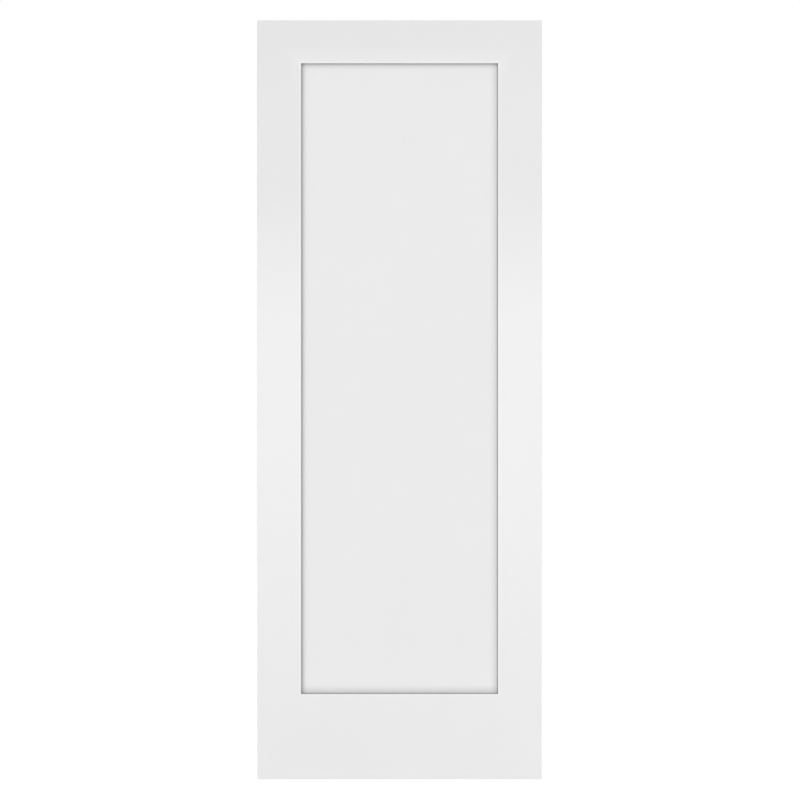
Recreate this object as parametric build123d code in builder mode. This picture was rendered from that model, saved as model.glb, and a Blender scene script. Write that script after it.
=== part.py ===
"""One-panel shaker door slab, 30 by 80 inches, primed for paint.

A stile-and-rail door: two stiles run the full height, two rails sit between them, and one flat panel
floats in the groove that runs round the inside of the frame. Every stile and rail is a core strip with a
grooved band on its inner edge and a thin board glued on each face. The stiles also have a solid band on
their outer edge, where hinges and a latch are let in.

Millimetres. X runs across the door from the hinge edge, Y through its thickness from front to back, and Z up
from its foot. The origin is at the foot of the hinge edge, in the middle of the thickness.
"""

import os

from build123d import *

# Slab, as hung
door_width = 762.0
door_height = 2032.0
door_thickness = 34.9

# Frame members, as they show on the face
stile_width = 117.5
top_rail_width = 114.3
bottom_rail_width = 228.6

# Layers of a frame member
face_board = 3.2
edge_band = 12.7
grooved_band = 25.4

# Panel and the groove that holds it
panel_thickness = 12.7
panel_clearance = 0.15
panel_float = 1.6
groove_depth = 12.7

# Stub tongue at each end of a rail, in the groove of the stile
tongue_clearance = 0.1
tongue_end_gap = 0.5

# Rounding of the long outer arrises and of the arrises round the panel
outer_arris_radius = 1.5
panel_arris_radius = 1.0

# Sizes that follow
core_thickness = door_thickness - 2 * face_board
opening_width = door_width - 2 * stile_width
opening_height = door_height - top_rail_width - bottom_rail_width
groove_width = panel_thickness + 2 * panel_clearance
panel_tuck = groove_depth - panel_float
tongue_thickness = groove_width - 2 * tongue_clearance
tongue_length = groove_depth - tongue_end_gap
largest_arris = 0.9 * face_board

# Planes of symmetry of the slab
mid_width = Plane.YZ.offset(door_width / 2)
mid_height = Plane.XY.offset(door_height / 2)
mid_thickness = Plane.XZ

# Planes on which the parts of a face meet
left_joint = Plane.YZ.offset(stile_width)
right_joint = Plane.YZ.offset(door_width - stile_width)
opening_middle = Plane.XY.offset(bottom_rail_width + opening_height / 2)


def twin(piece, about):
    """The same piece on the other side of a plane."""
    with BuildPart() as other:
        mirror(piece.part, about=about)
    return other


# Left stile: three strips that run the full height, drawn in plan

with BuildPart() as left_stile_edge_band:
    with BuildSketch(Plane.XY):
        Rectangle(edge_band, core_thickness, align=(Align.MIN, Align.CENTER))
    extrude(amount=door_height)

with BuildPart() as left_stile_core:
    with BuildSketch(Plane.XY):
        with Locations((edge_band, 0)):
            Rectangle(
                stile_width - edge_band - grooved_band,
                core_thickness,
                align=(Align.MIN, Align.CENTER),
            )
    extrude(amount=door_height)

with BuildPart() as left_stile_grooved_band:
    with BuildSketch(Plane.XY):
        with Locations((stile_width, 0)):
            Rectangle(grooved_band, core_thickness, align=(Align.MAX, Align.CENTER))
            Rectangle(
                groove_depth,
                groove_width,
                align=(Align.MAX, Align.CENTER),
                mode=Mode.SUBTRACT,
            )
    extrude(amount=door_height)


# Rails: drawn in section and run from shoulder to shoulder, with a stub tongue at each end.
# Both are made at the foot of the door with the groove upward. The top rail is then turned over.


def rail_core(width):
    """The core strip of a rail of this width, with its tongues."""
    height = width - grooved_band
    with BuildPart() as core:
        with BuildSketch(left_joint):
            Rectangle(core_thickness, height, align=(Align.CENTER, Align.MIN))
        extrude(amount=opening_width)
        with BuildSketch(left_joint.offset(-tongue_length)):
            Rectangle(tongue_thickness, height, align=(Align.CENTER, Align.MIN))
        extrude(amount=opening_width + 2 * tongue_length)
    return core


def rail_grooved_band(width):
    """The strip along the panel side of a rail of this width, with its groove and tongues."""
    tongue_tip = left_joint.offset(-tongue_length)
    tip_to_tip = opening_width + 2 * tongue_length
    with BuildPart() as band:
        with BuildSketch(left_joint):
            with Locations((0, width)):
                Rectangle(core_thickness, grooved_band, align=(Align.CENTER, Align.MAX))
        extrude(amount=opening_width)
        with BuildSketch(tongue_tip):
            with Locations((0, width)):
                Rectangle(tongue_thickness, grooved_band, align=(Align.CENTER, Align.MAX))
        extrude(amount=tip_to_tip)
        with BuildSketch(tongue_tip):
            with Locations((0, width)):
                Rectangle(groove_width, groove_depth, align=(Align.CENTER, Align.MAX))
        extrude(amount=tip_to_tip, mode=Mode.SUBTRACT)
    return band


# Panel: one flat board, tucked into the groove on all four sides with room to move

with BuildPart() as panel:
    with BuildSketch(Plane.XZ.offset(panel_thickness / 2)):
        with Locations((door_width / 2, bottom_rail_width + opening_height / 2)):
            Rectangle(opening_width + 2 * panel_tuck, opening_height + 2 * panel_tuck)
    extrude(amount=-panel_thickness)


# Face boards: the whole front is sanded flush and its arrises are rounded with the frame glued up,
# so it is shaped as one sheet and then parted at the joints between stiles and rails.

with BuildPart() as front_sheet:
    with BuildSketch(Plane.XZ.offset(door_thickness / 2)):
        Rectangle(door_width, door_height, align=Align.MIN)
        with Locations((stile_width, bottom_rail_width)):
            Rectangle(opening_width, opening_height, align=Align.MIN, mode=Mode.SUBTRACT)
    extrude(amount=-face_board)
    shown_face = front_sheet.faces().sort_by(Axis.Y)[0]
    outer_arrises = shown_face.outer_wire().edges().filter_by(Axis.Z)
    panel_arrises = shown_face.inner_wires()[0].edges()
    fillet(outer_arrises, radius=min(outer_arris_radius, largest_arris))
    fillet(panel_arrises, radius=min(panel_arris_radius, largest_arris))


def stile_face():
    """The part of the front sheet on the left stile."""
    with BuildPart() as face:
        add(front_sheet.part)
        split(bisect_by=left_joint, keep=Keep.BOTTOM)
    return face


def rail_face(kept_end):
    """The part of the front sheet on the rail at this end of the opening."""
    with BuildPart() as face:
        add(front_sheet.part)
        split(bisect_by=left_joint, keep=Keep.TOP)
        split(bisect_by=right_joint, keep=Keep.BOTTOM)
        split(bisect_by=opening_middle, keep=kept_end)
    return face


# The pieces by name

left_stile = {
    "core": left_stile_core,
    "edge_band": left_stile_edge_band,
    "grooved_band": left_stile_grooved_band,
    "front_face": stile_face(),
}
top_rail = {
    "core": twin(rail_core(top_rail_width), mid_height),
    "grooved_band": twin(rail_grooved_band(top_rail_width), mid_height),
    "front_face": rail_face(Keep.TOP),
}
bottom_rail = {
    "core": rail_core(bottom_rail_width),
    "grooved_band": rail_grooved_band(bottom_rail_width),
    "front_face": rail_face(Keep.BOTTOM),
}
for member in (left_stile, top_rail, bottom_rail):
    member["back_face"] = twin(member["front_face"], mid_thickness)
right_stile = {layer: twin(piece, mid_width) for layer, piece in left_stile.items()}

members = {
    "left_stile": left_stile,
    "right_stile": right_stile,
    "top_rail": top_rail,
    "bottom_rail": bottom_rail,
}
pieces = {"panel": panel}
for member_name, layers in members.items():
    for layer, piece in layers.items():
        pieces[f"{member_name}_{layer}"] = piece

os.makedirs("parts", exist_ok=True)
for name, piece in pieces.items():
    piece.part.label = name
    export_step(piece.part, f"parts/{name}.step")
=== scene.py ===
"""A one-panel shaker door slab in white primer, standing square to the camera on a white studio floor.

Metres, in the door's own frame: X across the door from its left edge, Y through it from front to back,
Z up from its foot. The faces, long edges and panel are primed. The top and bottom ends are left as they
were sawn, so the fibreboard faces and the pine between them show there.
"""
import math

import bpy
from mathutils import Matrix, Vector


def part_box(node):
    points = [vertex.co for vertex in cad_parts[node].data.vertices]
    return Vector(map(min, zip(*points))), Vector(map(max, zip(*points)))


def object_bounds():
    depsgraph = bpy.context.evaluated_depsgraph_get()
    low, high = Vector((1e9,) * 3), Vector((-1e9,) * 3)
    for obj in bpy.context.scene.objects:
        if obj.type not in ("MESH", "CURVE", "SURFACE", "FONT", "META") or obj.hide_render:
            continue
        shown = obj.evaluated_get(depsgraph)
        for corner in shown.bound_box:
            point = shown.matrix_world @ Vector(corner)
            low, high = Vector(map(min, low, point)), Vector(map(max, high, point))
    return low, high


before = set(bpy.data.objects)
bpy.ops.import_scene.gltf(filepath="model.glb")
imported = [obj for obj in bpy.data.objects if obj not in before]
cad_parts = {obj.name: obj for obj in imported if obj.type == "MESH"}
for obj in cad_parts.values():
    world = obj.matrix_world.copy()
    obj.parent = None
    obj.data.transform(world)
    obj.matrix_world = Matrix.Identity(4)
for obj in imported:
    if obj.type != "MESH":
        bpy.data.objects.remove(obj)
cad_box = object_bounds()

MM = 0.001
white = (1, 1, 1, 1)

# Places on the door, read from its pieces
left_edge, right_edge = cad_box[0].x, cad_box[1].x
front, back = cad_box[0].y, cad_box[1].y
foot, head = cad_box[0].z, cad_box[1].z
left_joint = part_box("left_stile_front_face")[1].x
right_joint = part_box("right_stile_front_face")[0].x
opening_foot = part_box("bottom_rail_front_face")[1].z
opening_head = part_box("top_rail_front_face")[0].z
panel_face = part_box("panel")[1].y
glue_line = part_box("left_stile_core")[1].y

# The picture: a square of pixels, the pixel at the middle of the door, and the width of a pixel on its face
picture_side = 800
door_middle_pixel = (399.5, 399.9)
pixel_width = 2.677 * MM
camera_distance = 9.0
sensor_width = 36.0

# The light round the door: strong in front and behind, some overhead, little at its sides
front_light = 1.205
side_light = 0.04
top_light = 1.20
facing_spread = (0.25, 0.90)
overhead_spread = (0.60, 1.00)

# The floor: pale, with a soft glow of its own that keeps it white round the door
floor_width = 24.0
floor_tone = 0.92
floor_glow = 0.30
floor_roughness = 0.7

# Primer: the share of light that it sends back, how rough it dries, and how uneven both are
panel_tone = 0.830
# Painted light and shade on the frame: darker at its head and foot than at mid-height, lighter towards the
# right
frame_head_tone = 0.815
frame_middle_tone = 0.884
frame_foot_tone = 0.826
frame_painted_lean = 0.012
edge_tone = 0.84
primer_roughness = 0.58
mottle_size = 240 * MM
mottle_tone = 0.012
mottle_roughness = 0.10

# Painted shade: darker into the corners of the recess, on its walls and along the four sides of the panel
corner_falloff = 3.5
corner_reach = 24 * MM
wall_painted_shade = 0.57
left_painted_shade = 0.57
top_painted_shade = 0.52
right_painted_shade = 0.11
right_crease_shade = 0.80
foot_painted_shade = 0.16
foot_crease_shade = 0.60
crease_width = 3 * MM

# Painted light: a highlight on the frame round the panel, lighter on the top rail towards the panel, and
# lighter towards the foot of the panel
arris_painted_highlight = 0.06
arris_falloff = 3
arris_reach = 12 * MM
top_rail_painted_light = 0.030
top_rail_reach = 45 * MM
panel_foot_painted_light = 0.022
panel_foot_falloff = 2
panel_foot_reach = 150 * MM

# Heights on the frame for its painted light: lightest between the first two, at its foot and head tones at
# the next two, with more painted shade from the last up to the head
brightest_frame_heights = (1.00, 1.20)
frame_shade_heights = (0.00, 1.62)
head_shade_start = 1.80
head_painted_shade = 0.020

# Relief of the primer: its stipple, its orange peel, the grain of pine under it and the joints
stipple_size = 1.6 * MM
stipple_relief = 0.10 * MM
orange_peel_size = 7 * MM
orange_peel_relief = 0.16 * MM
telegraph_width = 1.1 * MM
telegraph_relief = 0.05 * MM
hairline_width = 0.25 * MM
joint_tone = 0.02
joint_depth = 0.06 * MM

# Sawn ends: how deep the bare wood goes, how far spray went over their arrises, and the marks of the saw
raw_depth = (0.30 * MM, 0.15 * MM)
raw_roughness = 0.85
overspray = 1.8 * MM
overspray_grain = 2.5 * MM
overspray_edge = 0.4 * MM
saw_pitch = 1.4 * MM
saw_slant = 0.35
saw_waver = 5.0
saw_waver_size = 8.4 * MM
saw_depth = 0.03 * MM
saw_tone = 0.035

# Pine: staves of short blocks, finger-jointed end to end
usual_stave = 26.5 * MM
stave_clearance = 0.1 * MM
most_staves = 10
block_length = 380 * MM
block_stagger = 0.37
finger_pitch = 4 * MM
finger_length = 11 * MM

# Grain of the pine: rings round a heart, dark late wood in each ring, fibres drawn out along the board
heart_reach = 90 * MM
ring_width = 3.4 * MM
ring_waver = 1.8
ring_waver_size = 17 * MM
ring_shift = 7
late_wood_rise = (0.30, 0.90)
late_wood_fall = (1.00, 0.93)
grain_stretch = 0.03
fibre_width = 0.6 * MM
early_wood = (0.72, 0.53, 0.30, 1)
late_wood = (0.46, 0.25, 0.10, 1)

# What each of these adds to the share of dark wood
ring_share = 0.60
fibre_share = 0.50
block_share = 0.35
glue_share = 0.40

# Fibreboard: fibres that lie flat in its thickness
chip_size = 1.2 * MM
chip_flatness = 2.5
pale_chip_spread = (0.3, 0.7)
pale_fibre = (0.46, 0.31, 0.17, 1)
dark_fibre = (0.29, 0.175, 0.085, 1)


class Value:
    """The output of a shader node. Arithmetic on it adds Math nodes to its tree."""

    def __init__(self, shader, socket):
        self.shader = shader
        self.socket = socket

    def output(self, name):
        """Another output of the same node."""
        return Value(self.shader, self.socket.node.outputs[name])

    def __add__(self, other):
        return self.shader.math("ADD", self, other)

    def __sub__(self, other):
        return self.shader.math("SUBTRACT", self, other)

    def __rsub__(self, other):
        return self.shader.math("SUBTRACT", other, self)

    def __mul__(self, other):
        return self.shader.math("MULTIPLY", self, other)

    def __truediv__(self, other):
        return self.shader.math("DIVIDE", self, other)

    def __pow__(self, other):
        return self.shader.math("POWER", self, other)

    def __abs__(self):
        return self.shader.math("ABSOLUTE", self)

    __radd__ = __add__
    __rmul__ = __mul__


class Shader:
    """A node tree that is filled by expressions."""

    noise_detail = 3.0

    def __init__(self, tree):
        tree.nodes.clear()
        self.tree = tree

    def node(self, kind, settings, sockets, output=0):
        """Add a node, with its settings set first and its sockets filled or linked. Gives one output."""
        node = self.tree.nodes.new(kind)
        for name, setting in settings.items():
            setattr(node, name, setting)
        for key, value in sockets.items():
            if isinstance(value, Value):
                self.tree.links.new(value.socket, node.inputs[key])
            else:
                node.inputs[key].default_value = value
        return Value(self, node.outputs[output]) if len(node.outputs) else None

    def math(self, operation, *terms):
        return self.node("ShaderNodeMath", {"operation": operation}, dict(enumerate(terms)))

    def floor(self, value):
        return self.math("FLOOR", value)

    def fraction(self, value):
        return self.math("FRACT", value)

    def least(self, first, *others):
        for other in others:
            first = self.math("MINIMUM", first, other)
        return first

    def most(self, first, *others):
        for other in others:
            first = self.math("MAXIMUM", first, other)
        return first

    def step(self, value, start, end):
        """Goes smoothly from 0 where the value is at start to 1 where it is at end."""
        sockets = {"Value": value, "From Min": start, "From Max": end}
        return self.node("ShaderNodeMapRange", {"interpolation_type": "SMOOTHSTEP"}, sockets)

    def nearness(self, distance, reach):
        """1 where the distance is none, falling evenly to 0 at the reach."""
        return self.node("ShaderNodeMapRange", {}, {"Value": distance, "From Min": reach, "From Max": 0.0})

    def split(self, vector):
        x = self.node("ShaderNodeSeparateXYZ", {}, {"Vector": vector})
        return x, x.output("Y"), x.output("Z")

    def join(self, x, y, z):
        return self.node("ShaderNodeCombineXYZ", {}, {"X": x, "Y": y, "Z": z})

    def place(self):
        """The point on the door: across, through and up, in metres."""
        return self.split(self.node("ShaderNodeTexCoord", {}, {}, "Object"))

    def noise(self, x, y, z, size):
        """Cloudy noise round 0, in patches of about this size."""
        sockets = {"Vector": self.join(x, y, z), "Scale": 1 / size, "Detail": self.noise_detail}
        return self.node("ShaderNodeTexNoise", {}, sockets) - 0.5

    def chance(self, first, second):
        """Three random numbers from 0 to 1 for a pair of whole numbers."""
        settings = {"noise_dimensions": "2D"}
        sockets = {"Vector": self.join(first, second, 0.0)}
        return self.split(self.node("ShaderNodeTexWhiteNoise", settings, sockets, "Color"))

    def mix(self, factor, first, second):
        """The second colour over the first, as far as the factor says. The sockets go by number."""
        sockets = {0: factor, 6: first, 7: second}
        return self.node("ShaderNodeMix", {"data_type": "RGBA"}, sockets, 2)

    def bump(self, height):
        """The surface's normal under a relief of this height in metres."""
        return self.node("ShaderNodeBump", {}, {"Height": height, "Distance": 1.0})

    def surface(self, sockets):
        """End the tree in one Principled surface."""
        principled = self.node("ShaderNodeBsdfPrincipled", {}, sockets)
        self.node("ShaderNodeOutputMaterial", {}, {"Surface": principled})


def make_material(name):
    material = bpy.data.materials.new(name)
    material.use_nodes = True
    return material, Shader(material.node_tree)


def inset(shader, x, z):
    """How far a point lies inside the opening that the panel fills, or less than 0 out on the frame."""
    return shader.least(x - left_joint, right_joint - x, z - opening_foot, opening_head - z)


def spray_grain(shader, x, y, z):
    """Height of the coat round 0: stipple over a wider orange peel."""
    stipple = shader.noise(x, y, z, stipple_size)
    orange_peel = shader.noise(x, y, z, orange_peel_size)
    return stipple_relief * stipple + orange_peel_relief * orange_peel


def corner_painted_shade(shader, distance, darkening):
    """Share of the tone left under painted shade near an inner corner of the recess, darkest at the corner.
    """
    return 1 - darkening * shader.nearness(distance, corner_reach) ** corner_falloff


def soft_painted_shade(shader, distance, darkening, crease_darkening):
    """Share of the tone left under painted shade along a side: a little darker near it, much darker in the
    crease.
    """
    beside = 1 - darkening * shader.step(distance, corner_reach, 0.0)
    in_crease = 1 - crease_darkening * shader.nearness(distance, crease_width)
    return beside * in_crease


def panel_painted_shade(shader, x, z):
    """Share of the panel's tone left under painted shade: wider along the left stile and the top rail, a
    fine dark line with a soft fade along the right stile and the foot.
    """
    at_left = corner_painted_shade(shader, x - left_joint, left_painted_shade)
    at_top = corner_painted_shade(shader, opening_head - z, top_painted_shade)
    at_right = soft_painted_shade(shader, right_joint - x, right_painted_shade, right_crease_shade)
    at_foot = soft_painted_shade(shader, z - opening_foot, foot_painted_shade, foot_crease_shade)
    return at_left * at_top * at_right * at_foot


def frame_painted_light(shader, x, z):
    """Tone of the primer on the frame with painted light and shade: lightest at mid-height, a little
    lighter to the right, darker towards its head and foot, with a painted highlight beside the opening.
    """
    outside = 0 - inset(shader, x, z)
    over_panel = shader.step(z, opening_head - top_rail_reach, opening_head)
    # Painted highlight beside the opening, and painted light on the top rail towards the panel
    arris_highlight = arris_painted_highlight * shader.nearness(outside, arris_reach) ** arris_falloff
    top_rail_light = top_rail_painted_light * shader.nearness(outside, top_rail_reach) * over_panel
    lean = frame_painted_lean / (right_edge - left_edge) * (x - (left_edge + right_edge) / 2)
    below = (frame_foot_tone - frame_middle_tone) * shader.step(z, brightest_frame_heights[0], frame_shade_heights[0])
    above = (frame_head_tone - frame_middle_tone) * shader.step(z, brightest_frame_heights[1], frame_shade_heights[1])
    at_head = head_painted_shade * shader.step(z, head_shade_start, head)
    return frame_middle_tone + below + above + lean + arris_highlight + top_rail_light - at_head


def rail_joint(shader, x, z):
    """1 on the joints between stiles and rails, which just show through the primer."""
    off_joint = shader.least(abs(x - left_joint), abs(x - right_joint))
    on_rail = shader.step(shader.least(z - opening_foot, opening_head - z), 0.0, -hairline_width)
    return shader.step(off_joint, hairline_width, 0.0) * on_rail


def board_joint(shader, y):
    """1 on the glue lines between the face boards and the pine, which show on the edges."""
    return shader.step(abs(abs(y) - glue_line), hairline_width, 0.0)


def raw_end(shader, x, y, z):
    """1 on the sawn top and bottom of the door, falling to 0 where spray went over the arris."""
    from_end = shader.least(z - foot, head - z)
    from_arris = shader.least(x - left_edge, right_edge - x, y - front, back - y)
    ragged = overspray * (shader.noise(x, y, z, overspray_grain) + 0.5)
    bare = shader.step(from_arris - ragged, -overspray_edge, overspray_edge)
    return shader.step(from_end, *raw_depth) * bare


def saw_marks(shader, x, y):
    """The stripes that a saw leaves across an end, from -1 to 1."""
    stripes = (x + saw_slant * y) * (2 * math.pi / saw_pitch)
    return shader.math("SINE", stripes + saw_waver * shader.noise(x, y, 0.0, saw_waver_size))


def pine(shader, name, x, y, z):
    """Share of dark wood in one pine board: each block of each stave has rings round a heart of its own."""
    upright = "stile" in name
    across, along = (x, z) if upright else (z, x)
    low, high = (corner.x if upright else corner.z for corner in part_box(name))
    number = sorted(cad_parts).index(name)
    staves = max(1, round((high - low) / usual_stave))
    stave_width = (high - low + 2 * stave_clearance) / staves
    staves_in = (across - (low - stave_clearance)) / stave_width
    stave = shader.floor(staves_in)
    finger_slope = finger_pitch / finger_length
    finger = shader.math("PINGPONG", y - front, finger_pitch) / finger_slope
    blocks_in = (along + finger) / block_length + block_stagger * (stave + number)
    shade, turn, shift = shader.chance(stave + most_staves * number, shader.floor(blocks_in))

    from_heart_across = (staves_in - stave - 0.5) * stave_width + (turn - 0.5) * heart_reach
    from_heart_through = y + (shift - 0.5) * heart_reach
    from_heart = (from_heart_across ** 2 + from_heart_through ** 2) ** 0.5
    waver = ring_waver * shader.noise(across, y, along * grain_stretch, ring_waver_size)
    ring = shader.fraction(from_heart / ring_width + waver + ring_shift * shade)
    late = shader.step(ring, *late_wood_rise) * shader.step(ring, *late_wood_fall)
    fibre = shader.noise(across, y, along * grain_stretch, fibre_width)

    off_stave = abs(shader.fraction(staves_in + 0.5) - 0.5) * stave_width
    off_block = abs(shader.fraction(blocks_in + 0.5) - 0.5) * (block_length * finger_slope)
    inside = shader.step(shader.least(across - low, high - across), hairline_width, 2 * hairline_width)
    glue = shader.step(shader.least(off_stave, off_block), hairline_width, 0.0) * inside
    return ring_share * late + fibre_share * fibre + block_share * shade + glue_share * glue


def fibreboard(shader, x, y, z):
    """Share of pale fibres in raw fibreboard."""
    return shader.step(shader.noise(x, y * chip_flatness, z, chip_size) + 0.5, *pale_chip_spread)


def primed_surface(shader, place, tone, relief, joint, raw_colour):
    """Primer with its relief and its faint joints, over wood that is bare at the sawn ends."""
    x, y, z = place
    raw = raw_end(shader, x, y, z)
    mottle = shader.noise(x, y, z, mottle_size)
    coat_roughness = primer_roughness + mottle_roughness * mottle
    saw_relief = saw_depth * saw_marks(shader, x, y)
    height = relief * (1 - raw) + saw_relief * raw - joint_depth * joint
    shader.surface({
        "Base Color": shader.mix(raw, tone + mottle_tone * mottle - joint_tone * joint, raw_colour),
        "Roughness": coat_roughness + (raw_roughness - coat_roughness) * raw,
        "Normal": shader.bump(height),
    })


def primed_board():
    """The fibreboard faces of the stiles and rails."""
    material, shader = make_material("primed_board")
    x, y, z = place = shader.place()
    # Painted light and shade on the frame: lighter at mid-height, towards the right and beside the opening
    tone = frame_painted_light(shader, x, z)
    joint = shader.most(rail_joint(shader, x, z), board_joint(shader, y))
    pale = fibreboard(shader, x, y, z) + saw_tone * saw_marks(shader, x, y)
    raw_colour = shader.mix(pale, dark_fibre, pale_fibre)
    primed_surface(shader, place, tone, spray_grain(shader, x, y, z), joint, raw_colour)
    return material


def primed_panel():
    """The flat fibreboard panel, with painted shade along its sides and painted light towards its foot."""
    material, shader = make_material("primed_panel")
    x, y, z = shader.place()
    mottle = shader.noise(x, y, z, mottle_size)
    # Painted light: the panel lighter towards its foot
    at_foot = shader.nearness(z - opening_foot, panel_foot_reach) ** panel_foot_falloff
    tone = panel_tone + panel_foot_painted_light * at_foot
    # Painted shade along the four sides of the panel
    shader.surface({
        "Base Color": tone * panel_painted_shade(shader, x, z) + mottle_tone * mottle,
        "Roughness": primer_roughness + mottle_roughness * mottle,
        "Normal": shader.bump(spray_grain(shader, x, y, z)),
    })
    return material


def pine_board(name):
    """A pine band, whose grain just shows through its primer, or a core, which shows only at the ends."""
    material, shader = make_material(name)
    x, y, z = place = shader.place()
    # Painted shade: the walls of the recess darker towards the panel
    in_recess = shader.step(inset(shader, x, z), -hairline_width, 0.0)
    wall_darkening = in_recess * (1 - corner_painted_shade(shader, abs(y) - panel_face, wall_painted_shade))
    along_grain = (x, y, z * grain_stretch) if "stile" in name else (x * grain_stretch, y, z)
    telegraph = shader.noise(*along_grain, telegraph_width)
    relief = spray_grain(shader, x, y, z) + telegraph_relief * telegraph
    dark = pine(shader, name, x, y, z) + saw_tone * saw_marks(shader, x, y)
    raw_colour = shader.mix(dark, early_wood, late_wood)
    primed_surface(shader, place, edge_tone * (1 - wall_darkening), relief, board_joint(shader, y), raw_colour)
    return material


def finish_pieces():
    """Give each piece of the door its finish. Every pine board has a grain of its own."""
    board = primed_board()
    panel = primed_panel()
    for name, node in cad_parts.items():
        if name == "panel":
            finish = panel
        elif name.endswith("face"):
            finish = board
        else:
            finish = pine_board(name)
        node.data.materials.clear()
        node.data.materials.append(finish)


def light_studio():
    """Soft light from all round, over a background that the camera sees as plain white."""
    world = bpy.data.worlds.new("studio")
    world.use_nodes = True
    bpy.context.scene.world = world
    shader = Shader(world.node_tree)
    x, y, z = shader.split(shader.node("ShaderNodeTexCoord", {}, {}, "Generated"))
    facing = shader.step(abs(y), *facing_spread)
    overhead = shader.step(z, *overhead_spread)
    strength = side_light + (front_light - side_light) * facing + top_light * overhead
    light = shader.node("ShaderNodeBackground", {}, {"Color": white, "Strength": strength})
    plain_white = shader.node("ShaderNodeBackground", {}, {"Color": white})
    seen = shader.node("ShaderNodeLightPath", {}, {}, "Is Camera Ray")
    shown = shader.node("ShaderNodeMixShader", {}, {0: seen, 1: light, 2: plain_white})
    shader.node("ShaderNodeOutputWorld", {}, {"Surface": shown})


def lay_floor():
    """A plain white floor under the door's foot."""
    material, shader = make_material("white_floor")
    shader.surface({
        "Base Color": (floor_tone, floor_tone, floor_tone, 1),
        "Roughness": floor_roughness,
        "Emission Color": white,
        "Emission Strength": floor_glow,
    })
    bpy.ops.mesh.primitive_plane_add(size=floor_width, location=(0, 0, foot))
    floor = bpy.context.object
    floor.name = "studio_floor"
    floor.data.materials.append(material)


def set_camera():
    """A long lens square to the door, so that its outline keeps the picture's places."""
    lens = bpy.data.cameras.new("camera")
    lens.sensor_width = sensor_width
    lens.lens = sensor_width * camera_distance / (picture_side * pixel_width)
    camera = bpy.data.objects.new("camera", lens)
    bpy.context.scene.collection.objects.link(camera)
    column, row = door_middle_pixel
    camera.location = (
        (left_edge + right_edge) / 2 + (picture_side / 2 - column) * pixel_width,
        front - camera_distance,
        (foot + head) / 2 - (picture_side / 2 - row) * pixel_width,
    )
    camera.rotation_euler = (math.pi / 2, 0, 0)
    bpy.context.scene.camera = camera
    bpy.context.scene.view_settings.view_transform = "Standard"


bpy.ops.object.select_all(action="DESELECT")
finish_pieces()
light_studio()
lay_floor()
set_camera()
